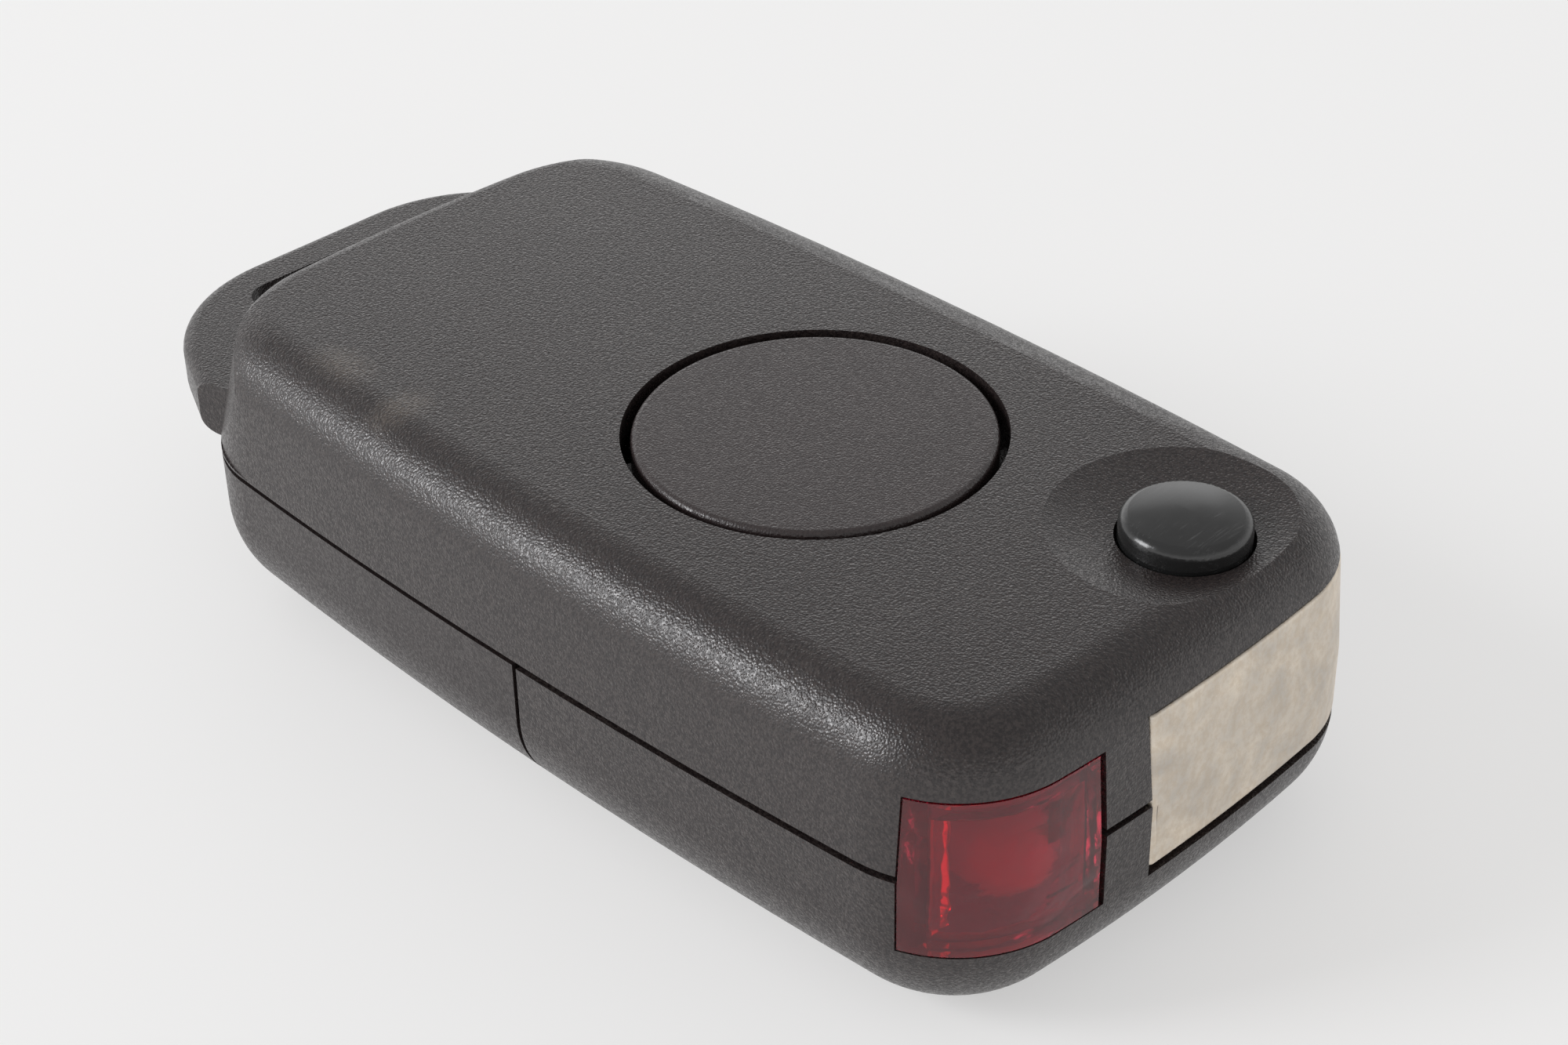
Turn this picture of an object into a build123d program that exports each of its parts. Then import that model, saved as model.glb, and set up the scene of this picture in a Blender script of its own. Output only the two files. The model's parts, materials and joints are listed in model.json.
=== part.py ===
"""Infrared remote key fob with a flip-out key.

Frame: +X points to the nose, where the window and the key head are, +Y to the side that
holds the folded blade, +Z up through the buttons. The origin is under the middle of the
housing, on the face that it rests on. All sizes are in millimetres.
"""

import os
from math import cos, radians, sin, sqrt

from build123d import *

# Housing, outside
body_width = 35.0
body_length = 63.3
body_height = 18.2
side_bow_radius = 377.0
end_bow_radius = 126.0
corner_radius = 7.4
top_round = 3.55
bottom_round = 6.1
tail_edge_round = 1.1
tail_corner_radius = 9.5
tail_side_corner = 10.0
tail_side_reach = 1.5
tail_lean = 2.3
tail_cut_grow = 0.05
upper_draft = 4.0
seam_height = 9.9
seam_rise = 0.66
seam_gap = 0.3
seam_low = 0.5
seam_step = 0.1
cover_edge_x = 0.45

# Housing, inside
wall = 1.5
top_wall = 1.6
floor_wall = 1.3
inner_draft = 6.5
post_radius = 1.7
rib_width = 1.0
rib_pitch = 5.3
nose_ribs = 2
cover_ribs = 5
ceiling_pockets = 6
pocket_cover = 4.0
pocket_margin = 2.2
locating_post_x = 8.5
locating_post_inset = 4.2
spigot_radius = 0.8
spigot_height = 1.6

# Key-ring bail
bail_reach = 7.5
bail_root_width = 30.4
bail_root_inset = 1.45
bail_nose_width = 22.2
bail_corner = 10.0
bail_bottom = 9.8
bail_height = 3.4
bail_edge_round = 0.9
ring_slot_width = 4.4
ring_slot_length = 15.0
ring_slot_inset = 0.3
ring_slot_corner = 1.6

# Flip key
pivot_from_nose = 6.95
pivot_from_side = 10.76
head_height = 9.2
head_cover = 2.95
head_gap_below = 0.45
head_gap_above = 0.15
head_swing_gap = 0.12
head_edge_break = 0.25
head_corner_round = 0.45
bay_wall = 1.2
blade_width = 8.0
blade_thickness = 2.9
blade_length = 44.2
blade_side_inset = 1.1
blade_gap = 0.2
blade_slot_play = 0.3
tip_slot_play = 2.4
tang_length = 8.0
tang_width = 3.2
tang_inset = 1.2
blade_tip_radius = 5.4
shoulder_gap = 0.1
track_width = 2.4
track_depth = 0.8
track_places = (-2.0, 5.0, 11.0, 17.0, 23.0, 29.0, 34.0)
track_swings = (0.0, 0.9, -1.1, 0.6, -0.9, 1.0, 0.2)
blade_pin_radius = 0.8
blade_pin_slit = 0.3
blade_pin_cover = 1.45

# Pivot, springs and release button
pin_radius = 1.5
running_gap = 0.05
pin_bottom = 1.9
pin_top_gap = 0.15
hub_wall = 0.95
boss_radius = 6.8
flip_wire = 0.7
flip_coil_radius = 3.9
flip_turns = 3.5
flip_pitch = 0.82
flip_pocket_gap = 0.9
flip_seat_gap = 0.15
flip_leg = 0.8
bay_ribs = 10
release_radius = 3.42
release_gap = 0.18
release_proud = 0.95
release_dome = 0.4
release_travel = 2.0
release_edge_round = 0.6
barrel_radius = 4.4
barrel_height = 2.05
dog_reach = 5.3
dog_width = 2.2
dog_height = 3.2
dog_gap = 0.15
barrel_gap = 0.1
barrel_floor_gap = 0.6
spring_cup = 1.45
release_wire = 0.45
release_coil_radius = 2.5
release_turns = 4.5
stop_pin_radius = 0.38
stop_circle = 6.0
stop_pin_height = 1.0
stop_play = 3.0
flip_angle = 180.0
dish_radius = 7.2
dish_depth = 0.9

# Main button
button_x = 5.0
button_y = 0.2
button_web = 0.5
button_radius = 9.76
button_gap = 0.56
button_thickness = 1.75
button_edge_round = 0.35
button_travel = 0.5
button_stem_radius = 2.4
button_skirt = 0.5
button_skirt_width = 1.3
tab_reach = 1.45
tab_width = 4.6
tab_height = 0.6
tab_play = 0.1
tab_angles = (165, 242, 320)

# Infrared window
window_from_nose = 5.05
window_from_side = 10.35
window_bottom = 5.86
window_cover = 3.3
window_gap = 0.1
window_groove = 0.38
lens_thickness = 2.1
lens_flange = 0.5
lens_flange_reach = 0.6
lens_flange_inset = 0.55
lens_skin = 1.6
lens_rim = 0.4

# Board and the parts on it
board_over_cells = 0.8
board_thickness = 1.0
board_edge_gap = 0.7
board_bay_gap = 0.35
board_tail_inset = 3.4
board_hole_places = (14.6, -3.6)
board_hole_inset = 6.1
screw_radius = 0.8
screw_head_radius = 1.5
screw_head_height = 0.9
screw_length = 4.6
switch_size = 6.0
switch_height = 3.5
plunger_radius = 1.7
plunger_height = 2.0
plunger_stroke_room = 0.7
plunger_proud = 0.8
led_radius = 2.5
led_flange_radius = 2.8
led_flange_height = 0.8
led_barrel = 4.2
led_side_gap = 0.2
led_window_gap = 0.2
led_over_board = 0.3
led_lead = 0.5
led_lead_pitch = 2.54
led_lead_length = 2.2
chip_length = 8.6
chip_width = 3.9
chip_height = 1.4
chip_lead_count = 14
chip_lead_width = 0.42
chip_lead_thickness = 0.2
chip_foot = 0.15
chip_pitch = 1.27
chip_place = (-1.0, -5.6)
chip_lead_reach = 1.0
resonator_length = 7.0
resonator_width = 2.6
resonator_height = 2.4
resonator_place = (-2.0, 3.9)
capacitor_radius = 2.0
capacitor_height = 5.0
capacitor_place = (8.5, 4.0)
transistor_size = (2.9, 1.4, 1.1)
transistor_place = (2.4, -1.6)
resistor_size = (2.0, 1.25, 0.5)
resistor_count = 5
resistor_pitch = 2.3
resistor_place = (-0.9, 3.2)

# Battery bay
cell_radius = 10.0
cell_height = 2.5
cell_from_tail = 15.65
cell_from_side = 14.1
cell_bottom = 2.1
cell_gap = 0.15
cell_edge = 0.25
cell_cap_radius = 8.6
cell_cap_height = 0.2
cell_rib_half = 8.0
tray_wall = 0.8
tray_bottom = 3.4
rail_height = 0.8
rail_width = 0.9
rail_play = 0.12
rail_half = 6.0
rail_reach = 1.5
rail_room = 0.85
rail_wall_gap = 0.3
cover_lip = 0.65
cover_lip_gap = 0.1
cover_lip_reach = 2.0
contact_thickness = 0.25
contact_width = 4.0
contact_touch = 0.03

# Worked out from the above
half_width = body_width / 2
half_length = body_length / 2
top_inside = body_height - top_wall
upper_floor = seam_height - seam_low
pivot_x = half_length - pivot_from_nose
pivot_y = half_width - pivot_from_side
pivot = (pivot_x, pivot_y)
button = (button_x, button_y)
window_x = half_length - window_from_nose
window_y = window_from_side - half_width
window_top = body_height - window_cover
cell_x = cell_from_tail - half_length
cell_y = cell_from_side - half_width
cells_top = cell_bottom + 2 * cell_height
board_bottom = cells_top + board_over_cells
board_top = board_bottom + board_thickness
board_tail_y = half_width - board_tail_inset
board_hole_y = board_hole_inset - half_width
board_holes = [(x, board_hole_y) for x in board_hole_places]
locating_post = (locating_post_x, locating_post_inset - half_width)
led_back = led_barrel + led_flange_height
chip_x = cell_x + chip_place[0]
chip_y = cell_y + chip_place[1]
resonator_x = cell_x + resonator_place[0]
resonator_y = cell_y + resonator_place[1]
capacitor_x = cell_x + capacitor_place[0]
transistor_x = board_hole_places[0] + transistor_place[0]
transistor_y = board_hole_y + transistor_place[1]
resistor_x = board_hole_places[1] + resistor_place[0]
resistor_y = board_hole_y + resistor_place[1]
head_top = body_height - head_cover
head_bottom = head_top - head_height
spigot_top = seam_height + spigot_height
bay_floor = head_bottom - head_gap_below
bay_ceiling = head_top + head_gap_above
blade_middle = (head_bottom + head_top) / 2
blade_bottom = blade_middle - blade_thickness / 2
blade_top = blade_middle + blade_thickness / 2
slot_bottom = blade_bottom - blade_slot_play
slot_top = blade_top + blade_slot_play
head_back_x = 2 * pivot_x - half_length
half_sheet = contact_thickness / 2
strip_x = cell_x + cell_radius + cell_gap / 2 + half_sheet
far = 100.0


def side_y(x):
    """Half width of the bowed side at a place along the body."""
    return half_width - side_bow_radius + sqrt(side_bow_radius**2 - x**2)


def nose_x(y):
    """How far the bowed nose reaches at a place across the body."""
    return half_length - end_bow_radius + sqrt(end_bow_radius**2 - y**2)


blade_outer_y = side_y(0) - blade_side_inset
blade_inner_y = blade_outer_y - blade_width
blade_centre_y = blade_outer_y - blade_width / 2
slot_wall_y = blade_inner_y - blade_gap
bay_y = slot_wall_y - bay_wall
head_corner_y = 2 * pivot_y - side_y(head_back_x)
head_corner_x = nose_x(head_corner_y)
head_arm_x = head_corner_x - pivot_x - head_corner_round
head_arm_y = pivot_y - head_corner_y - head_corner_round
head_swing = sqrt(head_arm_x**2 + head_arm_y**2) + head_corner_round
bay_radius = head_swing + head_swing_gap
ring_radius = bay_radius + bay_wall
capacitor_y = bay_y - capacitor_place[1]
led_y = pivot_y - ring_radius - led_side_gap - led_radius
led_play = corner_radius - lens_skin - led_window_gap - led_radius
led_drop = max(0, corner_radius - half_width - led_y)
led_x = nose_x(led_y) - corner_radius + sqrt(led_play**2 - led_drop**2)
slot_end_x = head_back_x - blade_length - tip_slot_play
blade_tip_x = head_back_x - blade_length
flip_coil_bottom = bay_floor + flip_wire / 2 + flip_seat_gap
flip_coil_height = flip_turns * flip_pitch
flip_pocket_radius = flip_coil_radius + flip_wire / 2 + flip_pocket_gap
flip_pocket_top = flip_coil_bottom + flip_coil_height + flip_wire / 2 + running_gap
pin_top = head_top - pin_top_gap
blade_pin_top = head_top - blade_pin_cover
pocket_top = body_height - pocket_cover
bail_root_x = bail_root_inset - half_length
barrel_bottom = head_top - barrel_height
barrel_floor = barrel_bottom - release_travel - barrel_floor_gap
barrel_top = barrel_bottom + dog_height
recess_top = barrel_top + dog_gap
dish_bottom_z = body_height - dish_depth
dish_ball = (dish_radius**2 + dish_depth**2) / (2 * dish_depth)
release_top = body_height + release_proud
dome_ball = (release_radius**2 + release_dome**2) / (2 * release_dome)
button_bottom = body_height - button_thickness
button_hole_radius = button_radius + button_gap
button_floor = button_bottom - button_skirt - button_travel - tab_play
plunger_top = board_top + switch_height + plunger_proud
led_axis_z = board_top + led_over_board
seam_plane = Plane(
    origin=(0, 0, seam_height),
    z_dir=(-sin(radians(seam_rise)), 0, cos(radians(seam_rise))),
)
upper_face = seam_plane.offset(seam_gap / 2)
lower_face = seam_plane.offset(-seam_gap / 2)
spring_foot = (pivot_x + flip_coil_radius, pivot_y)
spring_hook = (pivot_x - flip_coil_radius, pivot_y)
flip_leg_top = barrel_floor - 0.3
stop_place = (pivot_x, pivot_y + stop_circle)
dog_bottom = barrel_bottom + 0.2
notch_reach = dog_reach + barrel_gap
notch_half = dog_width / 2 + barrel_gap
spring_cup_radius = release_coil_radius + release_wire / 2 + barrel_gap
far_rail_y = bay_y - rail_wall_gap
rail_top = board_bottom - rail_room
rail_bottom = rail_top - rail_height
hook_bottom = rail_top + rail_play
hook_top = board_bottom - running_gap
shoulder_x = head_back_x - shoulder_gap
blade_pin_x = head_back_x + tang_length / 2


def plan_outline(
    inset=0.0,
    nose_grow=0.0,
    tail_grow=0.0,
    side_grow=0.0,
    nose_corner=corner_radius,
    tail_corner=corner_radius,
):
    """The bowed rectangle of the housing seen from above."""
    with BuildSketch() as plan:
        with Locations((0, half_width + side_grow - side_bow_radius)):
            Circle(side_bow_radius - inset)
        with Locations((0, side_bow_radius - half_width - side_grow)):
            Circle(side_bow_radius - inset, mode=Mode.INTERSECT)
        with Locations(Location((half_length + nose_grow - end_bow_radius, 0, 0), (0, 0, 90))):
            Circle(end_bow_radius - inset, mode=Mode.INTERSECT)
        with Locations(Location((end_bow_radius - half_length - tail_grow, 0, 0), (0, 0, 90))):
            Circle(end_bow_radius - inset, mode=Mode.INTERSECT)
        fillet(plan.vertices().group_by(Axis.X)[0], tail_corner - inset)
        fillet(plan.vertices().group_by(Axis.X)[-1], nose_corner - inset)
    return plan.sketch


def lower_form(inset=0.0, bottom=0.0, top=seam_height):
    """The lower half of the body, or a hollow that follows it when it is inset."""
    with BuildPart() as form:
        with BuildSketch(Plane.XY.offset(bottom)):
            add(plan_outline(inset))
        extrude(amount=top - bottom)
        fillet(form.faces().sort_by(Axis.Z)[0].edges(), bottom_round - max(inset, bottom))
    return form.part


def drafted(outline, bottom, height, angle, edge_round=0.0):
    """An outline raised with walls that lean in, and its top edge rounded."""
    with BuildPart() as form:
        with BuildSketch(Plane.XY.offset(bottom)):
            add(outline)
        extrude(amount=height)
        draft(form.faces().filter_by(Axis.Z, reverse=True), Plane.XY.offset(bottom), angle)
        if edge_round > 0:
            fillet(form.faces().sort_by(Axis.Z)[-1].edges(), edge_round)
    return form.part


def disc(centre, radius, bottom, top, mode=Mode.ADD):
    """A round pad or hole between two heights at a place on the plan."""
    with BuildSketch(Plane.XY.offset(bottom)) as circle:
        with Locations(centre):
            Circle(radius)
    extrude(circle.sketch, amount=top - bottom, mode=mode)


def block(low, high, mode=Mode.ADD):
    """A plain block between two corners."""
    size = [b - a for a, b in zip(low, high)]
    middle = [(a + b) / 2 for a, b in zip(low, high)]
    with Locations(tuple(middle)):
        Box(*size, mode=mode)


# The closed outer form that both housing halves, the cover, the window and the key head
# are cut from. Its tail edge is crisper than the others, so the tail is a cut of its own.
upper_height = body_height - seam_height
long_form = drafted(
    plan_outline(tail_grow=tail_side_reach, tail_corner=tail_side_corner),
    seam_height,
    upper_height,
    upper_draft,
    top_round,
)


def tail_outline(height):
    """The outline that cuts the tail: it leans in and its corners open out with height."""
    rise = (height - seam_height) / upper_height
    return plan_outline(
        nose_grow=2 * top_round,
        tail_grow=-rise * tail_lean,
        side_grow=tail_cut_grow,
        tail_corner=corner_radius + rise * (tail_corner_radius - corner_radius),
    )


with BuildPart() as tail_form:
    for height in (board_bottom, body_height):
        with BuildSketch(Plane.XY.offset(height)):
            add(tail_outline(height))
    loft(ruled=True)
    fillet(tail_form.faces().sort_by(Axis.Z)[-1].edges(), tail_edge_round)

with BuildPart() as body_form:
    add(long_form)
    add(tail_form.part, mode=Mode.INTERSECT)
    add(lower_form())


# Key-ring bail: a flat loop with soft edges that grows out of the upper housing's tail
bail_nose_x = -half_length - bail_reach
bail_inner_x = bail_root_x + corner_radius / 2
with BuildPart() as bail:
    with BuildSketch(Plane.XY.offset(bail_bottom)) as bail_plan:
        with BuildLine():
            Polyline(
                (bail_inner_x, bail_root_width / 2 - rib_width),
                (bail_root_x, bail_root_width / 2),
                (bail_nose_x, bail_nose_width / 2),
                (bail_nose_x, -bail_nose_width / 2),
                (bail_root_x, -bail_root_width / 2),
                (bail_inner_x, rib_width - bail_root_width / 2),
                close=True,
            )
        make_face()
        fillet(bail_plan.vertices().group_by(Axis.X)[0], bail_corner)
    extrude(amount=bail_height)
    rims = bail.edges().filter_by(lambda edge: edge.center().X < bail_root_x)
    fillet(rims.filter_by(Axis.Z, reverse=True), bail_edge_round)
    with BuildSketch(Plane.XY.offset(bail_bottom)) as ring_slot:
        with Locations((-half_length - ring_slot_inset - ring_slot_width / 2, 0)):
            Rectangle(ring_slot_width, ring_slot_length)
        fillet(ring_slot.vertices(), ring_slot_corner)
    extrude(amount=bail_height, mode=Mode.SUBTRACT)


# The room that the swinging key head and the folded blade need inside the housing
with BuildPart() as key_room:
    disc(pivot, bay_radius, bay_floor, bay_ceiling)
    block((slot_end_x, slot_wall_y, slot_bottom), (pivot_x, far, slot_top))

# The same room with its walls, full height, which the hollows leave standing
with BuildPart() as key_walls:
    disc(pivot, ring_radius, -1, body_height)
    block((-far, bay_y, -1), (far, far, body_height))

# The opening for the infrared window, round the nose corner
with BuildPart() as window_cut:
    block(
        (window_x - window_gap, -far, window_bottom - window_gap),
        (far, window_y + window_groove, window_top + window_gap),
    )

# Hollow of the upper housing, and the stepped well of its main button
with BuildPart() as upper_hollow:
    add(drafted(plan_outline(wall), upper_floor, top_inside - upper_floor, inner_draft))
    add(tail_form.part.moved(Location((wall, 0, 0))), mode=Mode.INTERSECT)
    add(key_walls.part, mode=Mode.SUBTRACT)

with BuildPart() as button_well:
    disc(button, button_hole_radius, button_floor, body_height + 1)
    disc(pivot, ring_radius + tab_play, 0, bay_ceiling + button_web, mode=Mode.SUBTRACT)


# Upper housing: top, walls, ceiling of the key bay and the bail
pocket_pitch = (pivot_x - ring_radius - slot_end_x - rib_width) / ceiling_pockets
with BuildPart() as upper_housing:
    add(body_form.part)
    add(bail.part)
    add(upper_hollow.part, mode=Mode.SUBTRACT)
    add(key_room.part, mode=Mode.SUBTRACT)
    # Pockets in the thick ceiling over the blade, with ribs left between them
    for index in range(ceiling_pockets):
        pocket_x = slot_end_x + rib_width + index * pocket_pitch
        block(
            (pocket_x, slot_wall_y + bay_wall, slot_top - 1),
            (pocket_x + pocket_pitch - rib_width, blade_outer_y - pocket_margin, pocket_top),
            mode=Mode.SUBTRACT,
        )
    # Posts that the board hangs on, with pilot holes for its screws
    for place in board_holes:
        disc(place, post_radius, board_top, top_inside + 0.1)
        disc(place, screw_radius, board_top, board_top + screw_length, mode=Mode.SUBTRACT)
    # Socket for the locating post of the lower housing
    disc(locating_post, post_radius, upper_floor, top_inside + 0.1)
    add(button_well.part, mode=Mode.SUBTRACT)
    # Dish, hole and lock recess of the release button
    with Locations((pivot_x, pivot_y, dish_bottom_z + dish_ball)):
        Sphere(dish_ball, mode=Mode.SUBTRACT)
    disc(pivot, release_radius + release_gap, bay_ceiling - 0.1, body_height, mode=Mode.SUBTRACT)
    disc(pivot, dog_reach + dog_gap, bay_ceiling - 0.1, recess_top, mode=Mode.SUBTRACT)
    add(window_cut.part, mode=Mode.SUBTRACT)
    split(bisect_by=upper_face, keep=Keep.TOP)
    disc(locating_post, spigot_radius + running_gap, 0, spigot_top + running_gap, mode=Mode.SUBTRACT)


def lower_hollow(rib_places):
    """The inside of the lower half, with ribs left standing under the folded blade."""
    with BuildPart() as hollow:
        add(lower_form(inset=wall, bottom=floor_wall, top=seam_height + seam_low))
        for x in rib_places:
            block((x, bay_y, 0), (x + rib_width, far, far), mode=Mode.SUBTRACT)
    return hollow.part


def lower_shell(low_x, high_x, top_face):
    """A stretch of the lower half, still solid, cut down beside the blade slot."""
    with BuildPart() as shell:
        add(body_form.part)
        split(bisect_by=top_face, keep=Keep.BOTTOM)
        block((slot_end_x, bay_y - blade_gap, slot_bottom), (pivot_x, far, far), mode=Mode.SUBTRACT)
        block((low_x, -far, -far), (high_x, far, far), mode=Mode.INTERSECT)
    return shell.part


# Pockets round the bearing boss, with ribs left under the key head
with BuildPart() as bay_pockets:
    add(lower_form(inset=wall, bottom=floor_wall))
    disc(pivot, bay_radius, 0, bay_floor, mode=Mode.INTERSECT)
    disc(pivot, boss_radius, 0, far, mode=Mode.SUBTRACT)
    for index in range(bay_ribs // 2):
        with Locations(Location((pivot_x, pivot_y, bay_floor), (0, 0, index * 360 / bay_ribs))):
            Box(3 * bay_radius, rib_width, 3 * bay_floor, mode=Mode.SUBTRACT)

# Hollow of the lower housing beside the key bay
with BuildPart() as nose_hollow:
    add(lower_hollow([cover_edge_x + rib_width + index * rib_pitch for index in range(nose_ribs)]))
    disc(pivot, ring_radius, 0, far, mode=Mode.SUBTRACT)

# Post that locates the lower housing in the upper one
with BuildPart() as spigot_post:
    disc(locating_post, post_radius, floor_wall - 0.2, seam_height + 2)
    split(bisect_by=upper_face, keep=Keep.BOTTOM)
    disc(locating_post, spigot_radius, floor_wall, spigot_top)


# Lower housing: the nose half, with the bearing boss of the key
with BuildPart() as lower_housing:
    add(lower_shell(cover_edge_x + seam_gap / 2, far, lower_face.offset(-seam_step)))
    add(nose_hollow.part, mode=Mode.SUBTRACT)
    add(key_room.part, mode=Mode.SUBTRACT)
    add(bay_pockets.part, mode=Mode.SUBTRACT)
    disc(pivot, pin_radius, pin_bottom, far, mode=Mode.SUBTRACT)
    disc(spring_foot, flip_wire / 2 + running_gap, bay_floor - flip_leg, far, mode=Mode.SUBTRACT)
    disc(stop_place, stop_pin_radius, bay_floor - 0.5, head_bottom + stop_pin_height)
    add(window_cut.part, mode=Mode.SUBTRACT)
    add(spigot_post.part)


# Front lip of the battery cover, which sits inside the lower housing
lip_inset = wall + cover_lip_gap
with BuildPart() as cover_front:
    add(lower_form(inset=wall / 2, bottom=floor_wall / 2, top=board_bottom - cover_lip))
    block((cover_edge_x - seam_gap / 2, -far, 0), (far, far, far), mode=Mode.SUBTRACT)
    add(lower_form(inset=lip_inset, bottom=floor_wall + cover_lip_gap, top=board_bottom - cover_lip))
    add(
        lower_form(
            inset=lip_inset + cover_lip,
            bottom=floor_wall + cover_lip_gap + cover_lip,
            top=board_bottom,
        ),
        mode=Mode.SUBTRACT,
    )
    block(
        (cover_edge_x - cover_lip_reach, -far, 0),
        (cover_edge_x + cover_lip_reach, cell_y - cell_radius - cell_gap, far),
        mode=Mode.INTERSECT,
    )

# Hooks of the battery cover, over the rails of the battery tray
with BuildPart() as cover_hooks:
    add(lower_form(inset=wall / 2, bottom=floor_wall, top=board_bottom))
    block((cell_x - rail_half, -far, hook_bottom), (cell_x + rail_half, far, hook_top), mode=Mode.INTERSECT)
    block((-far, -board_tail_y, 0), (far, far_rail_y - rail_width, far), mode=Mode.SUBTRACT)
    block((-far, bay_y + 2 * rib_width, 0), (far, far, far), mode=Mode.SUBTRACT)


# Battery cover: the tail half, which slides off along two straight rails
with BuildPart() as battery_cover:
    add(lower_shell(-far, cover_edge_x - seam_gap / 2, lower_face))
    add(
        lower_hollow([slot_end_x + rib_pitch * (index + 0.5) for index in range(cover_ribs)]),
        mode=Mode.SUBTRACT,
    )
    add(cover_front.part)
    add(cover_hooks.part)
    block((slot_end_x, bay_y - blade_gap, slot_bottom), (pivot_x, far, far), mode=Mode.SUBTRACT)
    # Low ribs that the cells stand on
    for y in (cell_y - cell_radius / 2, cell_y, cell_y + cell_radius / 2):
        block(
            (cell_x - cell_rib_half, y - rib_width / 2, floor_wall - 0.1),
            (cell_x + cell_rib_half, y + rib_width / 2, cell_bottom),
        )


# Infrared window: a thick corner piece with a flange behind the housing walls
def window_band(outer_inset, inner_inset, low, high, reach):
    """A band of the body's outline round the nose corner."""
    with BuildPart() as band:
        if outer_inset > 0:
            with BuildSketch(Plane.XY.offset(low)):
                add(plan_outline(outer_inset))
            extrude(amount=high - low)
        else:
            add(body_form.part)
        block((window_x - reach, -far, low), (far, window_y + reach, high), mode=Mode.INTERSECT)
        with BuildSketch(Plane.XY.offset(low)):
            add(plan_outline(inner_inset))
        extrude(amount=high - low, mode=Mode.SUBTRACT)
    return band.part


with BuildPart() as lens:
    add(window_band(0, lens_thickness, window_bottom, window_top, 0))
    add(
        window_band(
            lens_thickness,
            lens_thickness + lens_flange,
            window_bottom + lens_flange_inset,
            window_top - 2 * lens_flange_inset,
            lens_flange_reach,
        )
    )
    # Recess behind the window, which leaves a thin skin inside a thicker rim
    recess = window_band(
        lens_skin,
        lens_thickness + 2 * lens_flange,
        window_bottom + lens_rim,
        window_top - 2 * lens_flange_inset - lens_rim,
        -lens_rim,
    )
    add(recess, mode=Mode.SUBTRACT)


# Key head: where the body's outline and the same outline turned half round the pivot
# meet, so that it closes the nose flush both when it is folded and when it is open
turned_outline = plan_outline().rotate(Axis((pivot_x, pivot_y, 0), (0, 0, 1)), 180)
tang_middle_y = blade_outer_y - tang_inset - tang_width / 2
with BuildPart() as key_head:
    with BuildSketch(Plane.XY.offset(head_bottom)):
        add(turned_outline)
    extrude(amount=head_top - head_bottom)
    add(body_form.part, mode=Mode.INTERSECT)
    sharp_corners = [(head_corner_x, head_corner_y), (head_back_x, 2 * pivot_y - head_corner_y)]
    for x, y in sharp_corners:
        corner = key_head.edges().filter_by(lambda e: abs(e.center().X - x) + abs(e.center().Y - y) < 0.5)
        fillet(corner.filter_by(Axis.Z, reverse=False, tolerance=0.2), head_corner_round)
    fillet(key_head.faces().filter_by(Axis.Z).edges(), head_edge_break)
    disc(pivot, pin_radius + running_gap, 0, far, mode=Mode.SUBTRACT)
    # Pocket of the flip spring, open below, round the hub
    disc(pivot, flip_pocket_radius, head_bottom, flip_pocket_top, mode=Mode.SUBTRACT)
    disc(pivot, pin_radius + running_gap + hub_wall, head_bottom, flip_pocket_top + 0.1)
    disc(pivot, pin_radius + running_gap, 0, far, mode=Mode.SUBTRACT)
    disc(spring_hook, flip_wire / 2 + running_gap, head_bottom, flip_leg_top, mode=Mode.SUBTRACT)
    # Pocket of the release button's barrel, with two notches for its lock dogs
    disc(pivot, barrel_radius + barrel_gap, barrel_floor, far, mode=Mode.SUBTRACT)
    block(
        (pivot_x - notch_reach, pivot_y - notch_half, dog_bottom - release_travel - barrel_gap),
        (pivot_x + notch_reach, pivot_y + notch_half, far),
        mode=Mode.SUBTRACT,
    )
    # Half-round groove that the stop pin runs in
    with BuildSketch(Plane.XY.offset(head_bottom)):
        with BuildLine():
            stop_arc = CenterArc(pivot, stop_circle, 90 - stop_play, flip_angle + 2 * stop_play)
        SlotArc(stop_arc, 2 * (stop_pin_radius + running_gap))
    extrude(amount=stop_pin_height + running_gap, mode=Mode.SUBTRACT)
    # Seat of the blade's tang and the hole of its roll pin
    block(
        (head_back_x - 1, tang_middle_y - tang_width / 2, blade_bottom),
        (head_back_x + tang_length, tang_middle_y + tang_width / 2, blade_top),
        mode=Mode.SUBTRACT,
    )
    disc((blade_pin_x, tang_middle_y), blade_pin_radius, 0, blade_pin_top, mode=Mode.SUBTRACT)


# Key blade: flat bar with a wandering track milled in each face
with BuildPart() as key_blade:
    with BuildSketch(Plane.XY.offset(blade_bottom)) as blade_plan:
        with Locations((blade_tip_x + blade_tip_radius, blade_centre_y)):
            Circle(blade_tip_radius)
            Rectangle(
                shoulder_x - blade_tip_x - blade_tip_radius,
                blade_width,
                align=(Align.MIN, Align.CENTER),
            )
        with Locations((0, blade_centre_y)):
            Rectangle(far, blade_width, mode=Mode.INTERSECT)
        with Locations((head_back_x + tang_length, tang_middle_y)):
            Rectangle(tang_length + 1, tang_width, align=(Align.MAX, Align.CENTER))
    extrude(amount=blade_thickness)
    for face_z, side in ((blade_bottom, -1), (blade_top, 1)):
        with BuildSketch(Plane.XY.offset(face_z)):
            with BuildLine() as track_line:
                Spline(
                    *[
                        (blade_tip_x + x, blade_centre_y + side * y)
                        for x, y in zip(track_places, track_swings)
                    ]
                )
            trace(track_line.edges(), line_width=track_width)
        extrude(amount=-side * track_depth, mode=Mode.SUBTRACT)
    disc((blade_pin_x, tang_middle_y), blade_pin_radius, 0, far, mode=Mode.SUBTRACT)


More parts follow.
